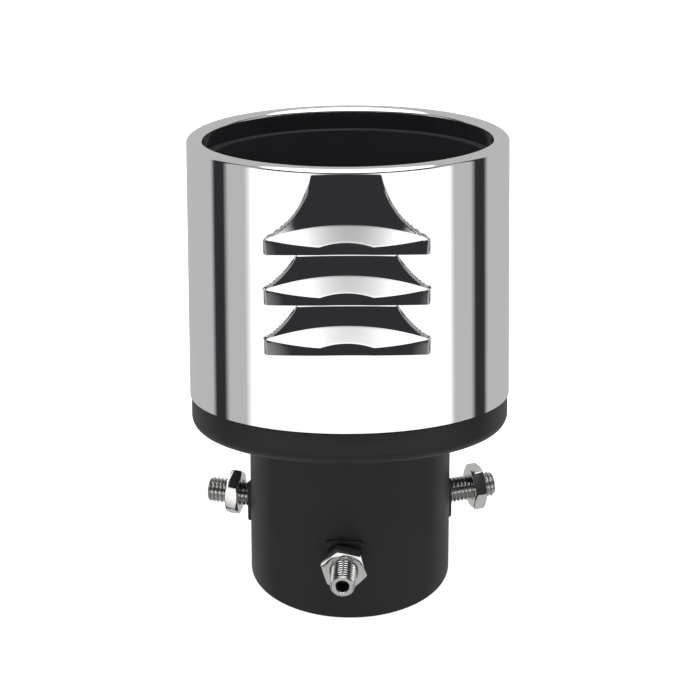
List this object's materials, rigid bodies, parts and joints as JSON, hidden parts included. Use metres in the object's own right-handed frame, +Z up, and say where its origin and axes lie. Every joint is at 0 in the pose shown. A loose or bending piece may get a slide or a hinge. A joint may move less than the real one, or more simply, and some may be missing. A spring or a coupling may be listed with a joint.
{
  "type": "tailpipe tip",
  "caption": "Angled bolt-on tailpipe tip: a louvred bright sleeve with a rolled mouth over a black inner tube, on a clamp neck with set screws and lock nuts.",
  "frame": {"origin": "centre of the clamp neck's open end, on the neck's axis", "axes": "+Z runs up the neck from its open end towards the mouth. The sleeve leans from +Z towards +Y by 15 degrees. The louvres and the front set screw face -Y. +X is to the right seen from the front."},
  "size_m": [0.101, 0.1229, 0.1537],
  "materials": {
    "bright_plate": "mirror-bright plate",
    "black_paint": "satin black paint",
    "liner_black": "matt black heat paint",
    "zinc_steel": "bright zinc-plated steel"
  },
  "bodies": {
    "tip": {"inlet_neck": "black_paint", "rear_cap": "black_paint", "neck_weld": "black_paint", "inner_liner": "liner_black", "outer_sleeve": "bright_plate", "screw_pad_front": "black_paint", "screw_pad_right": "black_paint", "screw_pad_left": "black_paint"},
    "screw_front": {"set_screw_front": "zinc_steel"},
    "nut_front": {"lock_nut_front": "zinc_steel"},
    "screw_right": {"set_screw_right": "zinc_steel"},
    "nut_right": {"lock_nut_right": "zinc_steel"},
    "screw_left": {"set_screw_left": "zinc_steel"},
    "nut_left": {"lock_nut_left": "zinc_steel"}
  },
  "joints": [
    {"name": "screw_front_in", "type": "slide", "parent": "tip", "child": "screw_front", "axis": [0.075, 0.9972, 0], "range_m": [0, 0.0085]},
    {"name": "nut_front_in", "type": "slide", "parent": "tip", "child": "nut_front", "axis": [0.075, 0.9972, 0], "range_m": [0, 0.0021]},
    {"name": "screw_right_in", "type": "slide", "parent": "tip", "child": "screw_right", "axis": [-0.9632, -0.2689, 0], "range_m": [0, 0.0035]},
    {"name": "nut_right_in", "type": "slide", "parent": "tip", "child": "nut_right", "axis": [-0.9632, -0.2689, 0], "range_m": [0, 0.0078]},
    {"name": "screw_left_in", "type": "slide", "parent": "tip", "child": "screw_left", "axis": [0.9659, -0.2588, 0], "range_m": [0, 0.0063]},
    {"name": "nut_left_in", "type": "slide", "parent": "tip", "child": "nut_left", "axis": [0.9659, -0.2588, 0], "range_m": [0, 0.0034]}
  ]
}
